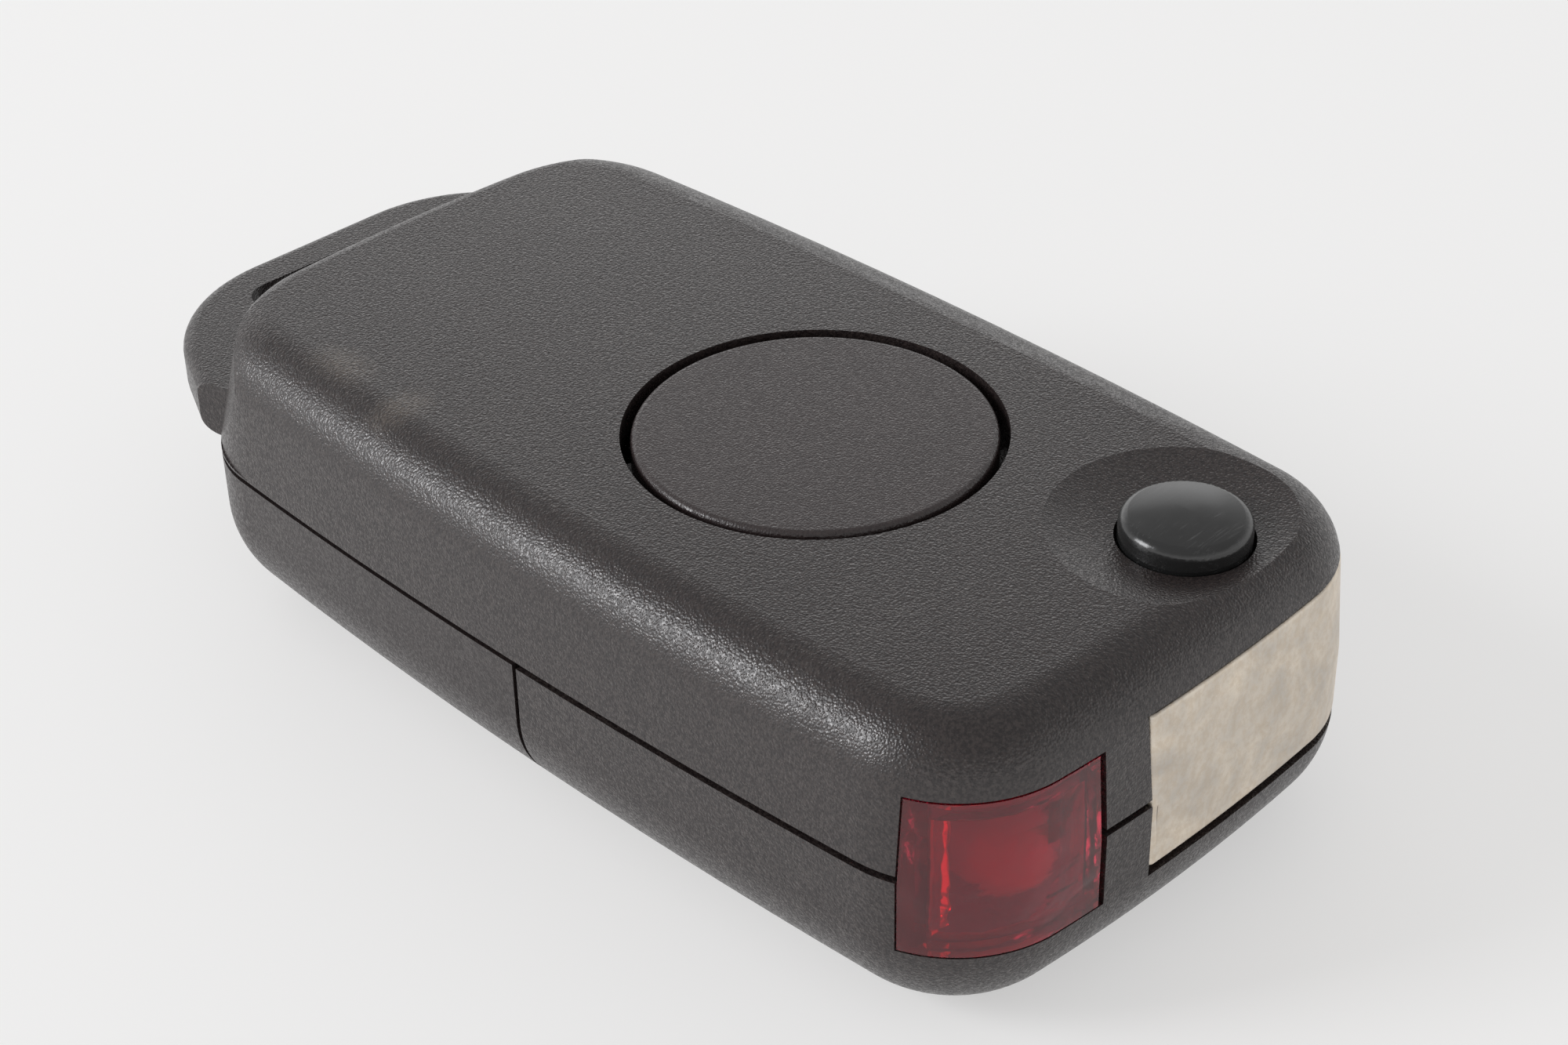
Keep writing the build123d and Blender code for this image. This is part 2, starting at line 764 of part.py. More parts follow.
# Roll pin: a split sleeve that holds the blade in the head
with BuildPart() as blade_pin:
    disc((blade_pin_x, tang_middle_y), blade_pin_radius, head_bottom + head_edge_break, blade_pin_top)
    disc((blade_pin_x, tang_middle_y), blade_pin_radius / 2, 0, far, mode=Mode.SUBTRACT)
    block(
        (blade_pin_x, tang_middle_y - blade_pin_slit / 2, 0),
        (blade_pin_x + far, tang_middle_y + blade_pin_slit / 2, far),
        mode=Mode.SUBTRACT,
    )


# Pivot pin
with BuildPart() as pivot_pin:
    disc(pivot, pin_radius, pin_bottom, pin_top)
    chamfer(pivot_pin.edges().filter_by(GeomType.CIRCLE), 0.3)


def coil(radius, wire, pitch, turns, bottom):
    """A round-wire coil standing on the pivot."""
    with BuildPart() as spring:
        with BuildLine():
            turn = Helix(pitch, pitch * turns, radius, center=(pivot_x, pivot_y, bottom))
        with BuildSketch(Plane(origin=turn @ 0, z_dir=turn % 0)):
            Circle(wire / 2)
        sweep(path=turn, is_frenet=True)
    return spring.part


# Flip spring: torsion coil with one leg in the boss and one in the head
with BuildPart() as flip_spring:
    add(coil(flip_coil_radius, flip_wire, flip_pitch, flip_turns, flip_coil_bottom))
    disc(spring_foot, flip_wire / 2, bay_floor - flip_leg + 0.1, flip_coil_bottom)
    disc(spring_hook, flip_wire / 2, flip_coil_bottom + flip_coil_height, flip_leg_top - 0.1)

# Release spring: compression coil under the release button
with BuildPart() as release_spring:
    add(
        coil(
            release_coil_radius,
            release_wire,
            (barrel_bottom + spring_cup - barrel_floor - release_wire) / release_turns,
            release_turns,
            barrel_floor + release_wire / 2,
        )
    )


# Release button: domed cap, barrel and two lock dogs in one piece
with BuildPart() as release_button:
    disc(pivot, release_radius, barrel_bottom, release_top)
    with Locations((pivot_x, pivot_y, release_top - dome_ball)):
        Sphere(dome_ball, mode=Mode.INTERSECT)
    fillet(release_button.faces().sort_by(Axis.Z)[-1].edges(), release_edge_round)
    disc(pivot, barrel_radius, barrel_bottom, barrel_top)
    block(
        (pivot_x - dog_reach, pivot_y - dog_width / 2, dog_bottom),
        (pivot_x + dog_reach, pivot_y + dog_width / 2, barrel_top),
    )
    disc(pivot, spring_cup_radius, 0, barrel_bottom + spring_cup, mode=Mode.SUBTRACT)
    disc(pivot, pin_radius + running_gap, 0, pin_top + release_travel + 0.1, mode=Mode.SUBTRACT)


# Main button: round cap with a skirt, three retaining tabs and a stem
button_under = button_bottom - button_skirt
with BuildPart() as main_button:
    disc(button, button_radius, button_bottom, body_height)
    fillet(main_button.faces().sort_by(Axis.Z)[-1].edges(), button_edge_round)
    disc(button, button_radius, button_under, button_bottom)
    disc(button, button_radius - button_skirt_width, button_under, button_bottom, mode=Mode.SUBTRACT)
    for angle in tab_angles:
        with Locations(Location((button_x, button_y, button_under), (0, 0, angle))):
            Box(
                button_radius + tab_reach,
                tab_width,
                tab_height,
                align=(Align.MIN, Align.CENTER, Align.MIN),
            )
    disc(button, button_radius - 2 * button_skirt_width, 0, button_bottom, mode=Mode.SUBTRACT)
    disc(button, button_stem_radius, plunger_top, button_bottom)
    disc(pivot, ring_radius + 3 * tab_play, 0, button_bottom, mode=Mode.SUBTRACT)


# Circuit board, shaped round the key bay
with BuildPart() as circuit_board:
    with BuildSketch(Plane.XY.offset(board_bottom)) as board_plan:
        add(plan_outline(wall + board_edge_gap))
        with Locations((0, bay_y - board_bay_gap)):
            Rectangle(far, far, align=(Align.CENTER, Align.MIN), mode=Mode.SUBTRACT)
        with Locations(pivot):
            Circle(ring_radius + board_bay_gap, mode=Mode.SUBTRACT)
        with Locations((cover_edge_x + cover_lip_reach, -board_tail_y)):
            Rectangle(far, far, align=(Align.MAX, Align.MAX), mode=Mode.SUBTRACT)
        with Locations((led_x - led_back - board_bay_gap, 0)):
            Rectangle(far, far, align=(Align.MIN, Align.CENTER), mode=Mode.SUBTRACT)
        with Locations(locating_post):
            Circle(post_radius + board_bay_gap, mode=Mode.SUBTRACT)
        with Locations(*board_holes):
            Circle(screw_radius + running_gap, mode=Mode.SUBTRACT)
    extrude(amount=board_thickness)

# Screws that hold the board to the upper housing
with BuildPart() as board_screws:
    for place in board_holes:
        disc(place, screw_head_radius, board_bottom - screw_head_height, board_bottom)
        disc(place, screw_radius, board_bottom, board_top + screw_length - 0.3)
    for place in board_holes:
        block(
            (place[0] - screw_head_radius, place[1] - 0.2, 0),
            (place[0] + screw_head_radius, place[1] + 0.2, board_bottom - screw_head_height + 0.4),
            mode=Mode.SUBTRACT,
        )

# Push switch under the main button
with BuildPart() as switch_base:
    with BuildSketch(Plane.XY.offset(board_top)) as switch_plan:
        with Locations(button):
            Rectangle(switch_size, switch_size)
        chamfer(switch_plan.vertices(), 0.5)
    extrude(amount=switch_height)
    disc(
        button,
        plunger_radius + 2 * running_gap,
        plunger_top - plunger_height - plunger_stroke_room,
        far,
        mode=Mode.SUBTRACT,
    )

with BuildPart() as switch_plunger:
    disc(button, plunger_radius, plunger_top - plunger_height, plunger_top)
    fillet(switch_plunger.faces().sort_by(Axis.Z)[-1].edges(), 0.3)

# Infrared diode, lying on the board and looking out through the window
led_plane = Plane(origin=(led_x, led_y, led_axis_z), x_dir=(0, 0, 1), z_dir=(1, 0, 0))
with BuildPart(led_plane) as infrared_led:
    Sphere(led_radius)
    Cylinder(led_radius, led_barrel, align=(Align.CENTER, Align.CENTER, Align.MAX))
    with Locations((0, 0, -led_barrel)):
        Cylinder(led_flange_radius, led_flange_height, align=(Align.CENTER, Align.CENTER, Align.MAX))
    # The flat that marks one lead
    with Locations((0, -led_radius, 0)):
        Box(
            2 * led_back,
            led_radius,
            3 * led_back,
            align=(Align.CENTER, Align.MAX, Align.CENTER),
            mode=Mode.SUBTRACT,
        )

with BuildPart() as led_leads:
    for side in (-1, 1):
        lead_y = led_y + side * led_lead_pitch / 2
        with Locations((led_x - led_back - led_lead_length / 2, lead_y, led_axis_z)):
            Box(led_lead_length, led_lead, led_lead)
        with Locations((led_x - led_back - led_lead_length / 2, lead_y, (board_top + led_axis_z) / 2)):
            Box(led_lead, led_lead, led_axis_z - board_top)

# Control chip and its leads
with BuildPart() as control_chip:
    with Locations((chip_x, chip_y, board_top + chip_foot)):
        Box(chip_length, chip_width, chip_height, align=(Align.CENTER, Align.CENTER, Align.MIN))
    chamfer(control_chip.faces().sort_by(Axis.Z)[-1].edges(), 0.2)

with BuildPart() as chip_leads:
    for side in (-1, 1):
        for index in range(chip_lead_count // 2):
            lead_x = chip_x + (index - (chip_lead_count // 2 - 1) / 2) * chip_pitch
            root_y = chip_y + side * chip_width / 2
            with BuildSketch(Plane.YZ.offset(lead_x - chip_lead_width / 2)):
                with BuildLine() as lead_line:
                    Polyline(
                        (root_y + side * chip_lead_thickness / 2, board_top + chip_foot + chip_height / 2),
                        (root_y + side * chip_lead_reach / 2, board_top + chip_foot + chip_height / 2),
                        (root_y + side * chip_lead_reach / 2, board_top + chip_lead_thickness / 2),
                        (root_y + side * chip_lead_reach, board_top + chip_lead_thickness / 2),
                    )
                trace(lead_line.edges(), line_width=chip_lead_thickness)
            extrude(amount=chip_lead_width)

# Smaller parts on the board
with BuildPart() as resonator:
    with BuildSketch(Plane.XY.offset(board_top)):
        with Locations((resonator_x, resonator_y)):
            SlotOverall(resonator_length, resonator_width)
    extrude(amount=resonator_height)
    fillet(resonator.faces().sort_by(Axis.Z)[-1].edges(), 0.3)

with BuildPart() as capacitor:
    disc((capacitor_x, capacitor_y), capacitor_radius, board_top, board_top + capacitor_height)
    fillet(capacitor.faces().sort_by(Axis.Z)[-1].edges(), 0.3)

with BuildPart() as transistor:
    with Locations((transistor_x, transistor_y, board_top)):
        Box(*transistor_size, align=(Align.CENTER, Align.CENTER, Align.MIN))
    chamfer(transistor.faces().sort_by(Axis.Z)[-1].edges(), 0.15)

with BuildPart() as resistors:
    for index in range(resistor_count):
        with Locations((resistor_x + index * resistor_pitch, resistor_y, board_top)):
            Box(*resistor_size, align=(Align.CENTER, Align.CENTER, Align.MIN))


# Coin cells, one on the other
def coin_cell(bottom):
    """A coin cell: a can with a slightly raised smaller cap on its upper face."""
    with BuildPart() as cell:
        disc((cell_x, cell_y), cell_radius, bottom, bottom + cell_height - cell_cap_height)
        chamfer(cell.edges().filter_by(GeomType.CIRCLE), cell_edge)
        disc((cell_x, cell_y), cell_cap_radius, bottom, bottom + cell_height)
    return cell.part


with BuildPart() as lower_cell:
    add(coin_cell(cell_bottom))

with BuildPart() as upper_cell:
    add(coin_cell(cell_bottom + cell_height))

# Battery tray: a ring under the board with straight rails for the cover's hooks
with BuildPart() as battery_tray:
    disc((cell_x, cell_y), cell_radius + cell_gap + tray_wall, tray_bottom, board_bottom)
    # Pad that backs the notch of the positive contact
    block(
        (cell_x + cell_radius - tray_wall, cell_y - contact_width, tray_bottom),
        (cell_x + cell_radius + 2 * tray_wall, cell_y + contact_width, rail_top),
    )
    block(
        (cell_x - rail_half, cell_y - cell_radius - rail_reach, rail_bottom),
        (cell_x + rail_half, far_rail_y, rail_top),
    )
    disc((cell_x, cell_y), cell_radius + cell_gap, 0, far, mode=Mode.SUBTRACT)
    block((-far, far_rail_y, 0), (far, far, far), mode=Mode.SUBTRACT)
    block((-far, far_rail_y - rail_width - rail_play, rail_top), (far, far, far), mode=Mode.SUBTRACT)
    block((-far, -far, rail_top), (far, rail_play - board_tail_y, far), mode=Mode.SUBTRACT)
    for low, reach in ((0, strip_x + half_sheet + running_gap), (rail_top, far)):
        block(
            (cell_x, cell_y - contact_width / 2 - cell_gap, low),
            (reach, cell_y + contact_width / 2 + cell_gap, far),
            mode=Mode.SUBTRACT,
        )


def contact(*points):
    """A strip of spring sheet bent along a line seen from the side."""
    with BuildPart() as strip:
        with BuildSketch(Plane.XZ.offset(-cell_y - contact_width / 2)):
            with BuildLine() as bend:
                Polyline(*points)
            trace(bend.edges(), line_width=contact_thickness)
        extrude(amount=contact_width)
    return strip.part


with BuildPart() as negative_contact:
    add(
        contact(
            (cell_x - cell_radius / 2, board_bottom - half_sheet),
            (cell_x + cell_radius / 4, board_bottom - half_sheet),
            (cell_x + cell_radius / 2, cells_top + half_sheet + contact_touch),
            (cell_x + cell_radius / 2 + 1, cells_top + contact_thickness + half_sheet),
        )
    )

with BuildPart() as positive_contact:
    add(
        contact(
            (strip_x + contact_width / 2, board_bottom - half_sheet),
            (strip_x, board_bottom - half_sheet),
            (strip_x, cell_bottom + cell_height / 4),
        )
    )


# One file for each piece, named like its node
os.makedirs("parts", exist_ok=True)
upper_housing.part.label = "upper_housing"
export_step(upper_housing.part, "parts/upper_housing.step")
lower_housing.part.label = "lower_housing"
export_step(lower_housing.part, "parts/lower_housing.step")
battery_cover.part.label = "battery_cover"
export_step(battery_cover.part, "parts/battery_cover.step")
lens.part.label = "lens"
export_step(lens.part, "parts/lens.step")
main_button.part.label = "main_button"
export_step(main_button.part, "parts/main_button.step")
release_button.part.label = "release_button"
export_step(release_button.part, "parts/release_button.step")
key_head.part.label = "key_head"
export_step(key_head.part, "parts/key_head.step")
key_blade.part.label = "key_blade"
export_step(key_blade.part, "parts/key_blade.step")
blade_pin.part.label = "blade_pin"
export_step(blade_pin.part, "parts/blade_pin.step")
pivot_pin.part.label = "pivot_pin"
export_step(pivot_pin.part, "parts/pivot_pin.step")
flip_spring.part.label = "flip_spring"
export_step(flip_spring.part, "parts/flip_spring.step")
release_spring.part.label = "release_spring"
export_step(release_spring.part, "parts/release_spring.step")
circuit_board.part.label = "circuit_board"
export_step(circuit_board.part, "parts/circuit_board.step")
board_screws.part.label = "board_screws"
export_step(board_screws.part, "parts/board_screws.step")
switch_base.part.label = "switch_base"
export_step(switch_base.part, "parts/switch_base.step")
switch_plunger.part.label = "switch_plunger"
export_step(switch_plunger.part, "parts/switch_plunger.step")
infrared_led.part.label = "infrared_led"
export_step(infrared_led.part, "parts/infrared_led.step")
led_leads.part.label = "led_leads"
export_step(led_leads.part, "parts/led_leads.step")
control_chip.part.label = "control_chip"
export_step(control_chip.part, "parts/control_chip.step")
chip_leads.part.label = "chip_leads"
export_step(chip_leads.part, "parts/chip_leads.step")
resonator.part.label = "resonator"
export_step(resonator.part, "parts/resonator.step")
capacitor.part.label = "capacitor"
export_step(capacitor.part, "parts/capacitor.step")
transistor.part.label = "transistor"
export_step(transistor.part, "parts/transistor.step")
resistors.part.label = "resistors"
export_step(resistors.part, "parts/resistors.step")
lower_cell.part.label = "lower_cell"
export_step(lower_cell.part, "parts/lower_cell.step")
upper_cell.part.label = "upper_cell"
export_step(upper_cell.part, "parts/upper_cell.step")
battery_tray.part.label = "battery_tray"
export_step(battery_tray.part, "parts/battery_tray.step")
negative_contact.part.label = "negative_contact"
export_step(negative_contact.part, "parts/negative_contact.step")
positive_contact.part.label = "positive_contact"
export_step(positive_contact.part, "parts/positive_contact.step")
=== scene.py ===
# %% [markdown]
# # An infrared key fob with a flip-out key
#
# The object is a palm-sized black plastic fob on a pale table. It has a large round push
# button, a small glossy release button in a dish, a red window round one nose corner and
# the bare metal head of a folded key. The CAD model gives every shape and the joints, so
# this file is about light, camera and finish.

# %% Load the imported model
import json
from math import cos, radians, sin

import bmesh
import bpy
from mathutils import Matrix, Vector


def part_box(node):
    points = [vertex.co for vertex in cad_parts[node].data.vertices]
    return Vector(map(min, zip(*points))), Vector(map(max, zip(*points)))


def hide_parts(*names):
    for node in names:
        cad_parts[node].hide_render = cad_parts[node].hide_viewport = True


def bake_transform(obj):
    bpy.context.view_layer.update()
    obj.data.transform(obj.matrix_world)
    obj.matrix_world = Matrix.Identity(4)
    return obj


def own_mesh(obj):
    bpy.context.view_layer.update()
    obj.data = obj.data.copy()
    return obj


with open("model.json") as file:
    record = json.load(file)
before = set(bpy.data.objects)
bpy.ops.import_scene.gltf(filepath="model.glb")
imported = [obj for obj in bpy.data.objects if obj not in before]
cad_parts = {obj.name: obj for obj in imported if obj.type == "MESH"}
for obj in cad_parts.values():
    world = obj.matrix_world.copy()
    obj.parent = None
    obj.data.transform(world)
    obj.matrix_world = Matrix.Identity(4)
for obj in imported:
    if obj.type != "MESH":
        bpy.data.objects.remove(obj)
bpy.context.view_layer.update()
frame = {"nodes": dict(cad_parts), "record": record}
nodes = frame["nodes"]
MM = 0.001

# %% [markdown]
# ## The camera
#
# The camera could be placed by eye. Here its direction, roll, distance and focal length
# come from a fit of the housing's outline to the photograph, so the straight seams fall
# where they do there. The three axes are worked out as vectors and put into a matrix.

# %% Place the camera
azimuth, elevation, roll = radians(46.037), radians(34.151), radians(-1.196)
distance, slide_right, slide_up = 170.940 * MM, 1.710 * MM, 8.266 * MM
focal_length = 68.734

back = Vector((sin(azimuth) * cos(elevation), -cos(azimuth) * cos(elevation), sin(elevation)))
level_right = Vector((cos(azimuth), sin(azimuth), 0))
level_up = back.cross(level_right)
right = cos(roll) * level_right + sin(roll) * level_up
up = -sin(roll) * level_right + cos(roll) * level_up

camera_data = bpy.data.cameras.new("photo_camera")
camera_data.lens = focal_length
camera_data.sensor_width = 36
camera_data.clip_start = 0.01
camera = bpy.data.objects.new("photo_camera", camera_data)
bpy.context.scene.collection.objects.link(camera)
camera.matrix_world = Matrix.Translation(
    back * distance + right * slide_right + up * slide_up
) @ Matrix((right, up, back)).transposed().to_4x4()
bpy.context.scene.camera = camera
print("camera at", [round(v, 4) for v in camera.matrix_world.translation])

# %% [markdown]
# ## The lamps
#
# The shadows in the photograph are faint and wide, as in a white light tent. Two area lamps
# give what the plastic mirrors. A low, wide panel at the back left shines in the flat top,
# most near the tail. A smaller and stronger panel at the front makes the bright grainy line
# on the near edge. Between the two the edge mirrors only the roof, which gives the dark
# line above the bright one.

# %% Set up the lamps
fob_middle = Vector((0, 0, 9 * MM))


def panel(name, direction, distance, size, strength, colour=(1, 1, 1)):
    """An area lamp that faces the fob from a direction, like a softbox."""
    data = bpy.data.lights.new(name, "AREA")
    data.shape = "RECTANGLE"
    data.size, data.size_y = size
    data.energy = strength
    data.color = colour
    lamp = bpy.data.objects.new(name, data)
    bpy.context.scene.collection.objects.link(lamp)
    aim = Vector(direction).normalized()
    lamp.location = fob_middle + aim * distance
    lamp.rotation_euler = aim.to_track_quat("Z", "Y").to_euler()


panel(
    "near_panel",
    direction=(-0.53, -0.71, 0.46),
    distance=1.40,
    size=(0.50, 0.60),
    strength=10.4,
    colour=(0.97, 0.98, 1),
)
panel("back_panel", direction=(-0.80, 0.52, 0.31), distance=1.40, size=(1.40, 0.70), strength=1.5)

# %% [markdown]
# ## The light tent
#
# A white world gives the even part of the light. It is brighter low down than overhead, as
# a tent's walls are, so rounded edges get a light rim. The height of a direction is the Z
# of Generated coordinates, and a Map Range turns it into a strength.

# %% Light the tent
wall_height, roof_height = 0.2, 0.57
wall_light, roof_light = 1.0, 0.45
world = bpy.data.worlds.new("light_tent")
bpy.context.scene.world = world
world.use_nodes = True
tent = world.node_tree.nodes["Background"]
tent.inputs["Color"].default_value = (1, 1, 1, 1)
tent_nodes, tent_links = world.node_tree.nodes, world.node_tree.links
height = tent_nodes.new("ShaderNodeSeparateXYZ")
wall = tent_nodes.new("ShaderNodeMapRange")
wall.inputs["From Min"].default_value = wall_height
wall.inputs["From Max"].default_value = roof_height
wall.inputs["To Min"].default_value = wall_light
wall.inputs["To Max"].default_value = roof_light
tent_links.new(tent_nodes.new("ShaderNodeTexCoord").outputs["Generated"], height.inputs[0])
tent_links.new(height.outputs["Z"], wall.inputs["Value"])
tent_links.new(wall.outputs["Result"], tent.inputs["Strength"])
bpy.context.scene.view_settings.view_transform = "Standard"
print("tent:", wall_light, "at the walls and", roof_light, "at the roof")

# %% [markdown]
# ## The table
#
# The table is white and has no edge in the picture. A flat disc is enough, because the
# camera looks down on it. It lies a hair under the fob, so that their faces don't flicker.

# %% Build the table
table_radius = 2.5
hair_gap = 0.05 * MM
table_mesh = bmesh.new()
bmesh.ops.create_circle(table_mesh, cap_ends=True, segments=96, radius=table_radius)
table_data = bpy.data.meshes.new("table")
table_mesh.to_mesh(table_data)
table_mesh.free()
table = bpy.data.objects.new("table", table_data)
table.location.z = -hair_gap
bpy.context.scene.collection.objects.link(table)
print("table radius:", table_radius, "m")

# %% [markdown]
# ### Its white
#
# For camera and mirror rays half of the table's colour is an even white of strength 1. That
# makes the shadow as faint as in the tent and adds no light to the object. The other half
# is an ordinary pale surface, which takes the shadow.

# %% Paint the table
even_share = 0.5
table_paint = bpy.data.materials.new("table_white")
table_paint.use_nodes = True
table_shader = table_paint.node_tree.nodes["Principled BSDF"]
table_shader.inputs["Base Color"].default_value = (0.95, 0.945, 0.94, 1)
table_shader.inputs["Roughness"].default_value = 0.55
table_shader.inputs["Specular IOR Level"].default_value = 0.3
table_nodes, table_links = table_paint.node_tree.nodes, table_paint.node_tree.links
paper = table_nodes.new("ShaderNodeEmission")
paper.inputs["Color"].default_value = (0.98, 0.975, 0.97, 1)
rays = table_nodes.new("ShaderNodeLightPath").outputs
seen = table_nodes.new("ShaderNodeMath")
seen.operation = "MAXIMUM"
part = table_nodes.new("ShaderNodeMath")
part.operation = "MULTIPLY"
part.inputs[1].default_value = even_share
blend = table_nodes.new("ShaderNodeMixShader")
table_links.new(rays["Is Camera Ray"], seen.inputs[0])
table_links.new(rays["Is Glossy Ray"], seen.inputs[1])
table_links.new(seen.outputs[0], part.inputs[0])
table_links.new(part.outputs[0], blend.inputs[0])
table_links.new(table_shader.outputs[0], blend.inputs[1])
table_links.new(paper.outputs[0], blend.inputs[2])
table_links.new(blend.outputs[0], table_nodes["Material Output"].inputs["Surface"])
table_data.materials.append(table_paint)
print("table paint:", len(table_nodes), "nodes, even share", even_share)

# %% [markdown]
# ## Effects that several finishes share
#
# Grain, dust, cloudy patina and fine scratches turn up on more than one material. Each
# is a shader node group with named inputs and outputs, so every material sets its own
# scale and strength. Nodes can be added one by one, but two small helpers keep the recipes
# readable: one adds a node and feeds it, the other starts a group.

# %% Helpers for nodes and groups
def place(tree, kind, settings=None, **links):
    """Adds a node, sets its options and feeds its inputs, by name or as i0, i1 and so on."""
    node = tree.nodes.new(kind)
    for key, value in (settings or {}).items():
        setattr(node, key, value)
    for key, value in links.items():
        by_number = key[0] == "i" and key[1:].isdigit()
        socket = node.inputs[int(key[1:]) if by_number else key.replace("_", " ")]
        if isinstance(value, bpy.types.NodeSocket):
            tree.links.new(value, socket)
        else:
            socket.default_value = value
    return node


def effect_group(name, inputs, outputs):
    """An empty node group with float inputs (name: start value) and float outputs."""
    tree = bpy.data.node_groups.new(name, "ShaderNodeTree")
    number = "NodeSocketFloat"
    for label, value in inputs.items():
        tree.interface.new_socket(label, in_out="INPUT", socket_type=number).default_value = value
    for label in outputs:
        tree.interface.new_socket(label, in_out="OUTPUT", socket_type=number)
    return tree, tree.nodes.new("NodeGroupInput").outputs, tree.nodes.new("NodeGroupOutput").inputs


print("helpers:", place.__name__, effect_group.__name__)

# %% [markdown]
# ### Sums, noise and places
#
# Most of a procedural finish is sums on numbers, noise, and a ramp that turns part of a
# range into a mask. All effects read object coordinates, in metres, so the grain has the
# same size on every piece.

# %% Helpers for sums and noise
def math(tree, operation, a, b=0.0, clamp=False):
    """One Math node, returning its output socket."""
    settings = {"operation": operation, "use_clamp": clamp}
    return place(tree, "ShaderNodeMath", settings, i0=a, i1=b).outputs[0]


def noise(tree, where, scale, detail=2.0, roughness=0.5, distortion=0.0):
    """One Noise Texture, returning its value socket."""
    links = {"Vector": where, "Scale": scale, "Detail": detail, "Roughness": roughness}
    return place(tree, "ShaderNodeTexNoise", None, Distortion=distortion, **links).outputs[0]


def object_place(tree):
    """The place on the object, in metres."""
    return place(tree, "ShaderNodeTexCoord").outputs["Object"]


def window(tree, value, low, high):
    """0 below low, 1 above high, with an even ramp between them."""
    node = place(tree, "ShaderNodeMapRange", None, Value=value, From_Min=low, From_Max=high)
    return node.outputs["Result"]


print("helpers:", math.__name__, noise.__name__, object_place.__name__, window.__name__)

# %% [markdown]
# ### Moulded grain
#
# The mould was spark-eroded, so the plastic has rounded pips a little over a tenth of a
# millimetre apart. A Voronoi texture gives the pips. A noise bends its rows, and one at a
# larger scale makes the pips uneven, because a single texture looks printed. The speckle
# marks scattered pip tops: the finishes make them a little glossier, and paint them paler as
# a painted glint of the lamps. The patches are wide and faint, for the colour.

# %% Moulded grain group
grain, grain_in, grain_out = effect_group(
    "moulded_grain", {"Pip Size mm": 0.15, "Unevenness": 0.15}, ["Height", "Speckle", "Patches"]
)
bend_size = 0.05 * MM
spot = object_place(grain)
per_metre = math(grain, "DIVIDE", 1000.0, grain_in["Pip Size mm"])
bend = place(grain, "ShaderNodeTexNoise", None, Vector=spot, Scale=900.0, Detail=2.0)
shifted = place(
    grain,
    "ShaderNodeVectorMath",
    {"operation": "MULTIPLY_ADD"},
    i0=bend.outputs["Color"],
    i1=(bend_size, bend_size, bend_size),
    i2=spot,
).outputs[0]
soft_cells = {"feature": "SMOOTH_F1"}
pips = place(grain, "ShaderNodeTexVoronoi", soft_cells, Vector=shifted, Scale=per_metre)
round_pips = math(grain, "SUBTRACT", 1.0, pips.outputs["Distance"])
coarse = noise(grain, spot, math(grain, "MULTIPLY", per_metre, 0.4), 3.0, 0.6)
uneven = math(grain, "MULTIPLY", coarse, grain_in["Unevenness"])
grain.links.new(math(grain, "ADD", round_pips, uneven), grain_out["Height"])
fine = noise(grain, spot, math(grain, "MULTIPLY", per_metre, 0.6), 3.0, 0.7)
grain.links.new(window(grain, fine, 0.43, 0.6), grain_out["Speckle"])
grain.links.new(noise(grain, spot, 160.0, 3.0, 0.55), grain_out["Patches"])
print("group:", grain.name, len(grain.nodes), "nodes")

# %% [markdown]
# ### Dust
#
# A used fob has pale dust in the grain of its upper faces, more in some patches, and a
# few bright specks. The mask is a product of three things: how far a face looks up, a
# patchy noise and a fine speckle. The specks are centres of wide Voronoi cells, and each
# cell's random colour draws the lot for whether it has one.

# %% Dust group
dust, dust_in, dust_out = effect_group(
    "settled_dust", {"Amount": 0.3, "Speck Size mm": 0.3}, ["Mask", "Specks"]
)
spot = object_place(dust)
normal = place(dust, "ShaderNodeNewGeometry").outputs["Normal"]
facing = place(dust, "ShaderNodeSeparateXYZ", None, i0=normal)
upward = window(dust, facing.outputs["Z"], 0.1, 0.95)
patchy = window(dust, noise(dust, spot, 95.0, 4.0, 0.6, 0.4), 0.45, 0.75)
speck_scale = math(dust, "DIVIDE", 1000.0, dust_in["Speck Size mm"])
speckle = window(dust, noise(dust, spot, speck_scale, 1.0), 0.5, 0.75)
soft = math(dust, "MULTIPLY", math(dust, "MULTIPLY", patchy, speckle), upward)
dust.links.new(math(dust, "MULTIPLY", soft, dust_in["Amount"], True), dust_out["Mask"])
sparse = place(dust, "ShaderNodeTexVoronoi", None, Vector=spot, Scale=190.0)
near_centre = window(dust, sparse.outputs["Distance"], 0.055, 0.03)
lot = place(dust, "ShaderNodeSeparateColor", None, i0=sparse.outputs["Color"]).outputs[0]
chosen = window(dust, lot, 0.86, 0.9)
dust.links.new(math(dust, "MULTIPLY", near_centre, chosen), dust_out["Specks"])
print("group:", dust.name, len(dust.nodes), "nodes")

# %% [markdown]
# ### A rubbed smear
#
# The top has a pale, dry smear near the tail, where something has rubbed on it. It has a
# place and a size of its own, so the group takes its centre and half sizes in millimetres.
# The distance from the centre makes an ellipse, and noise breaks its edge and its inside.
# The mask fades out below the top, so the side stays clean.

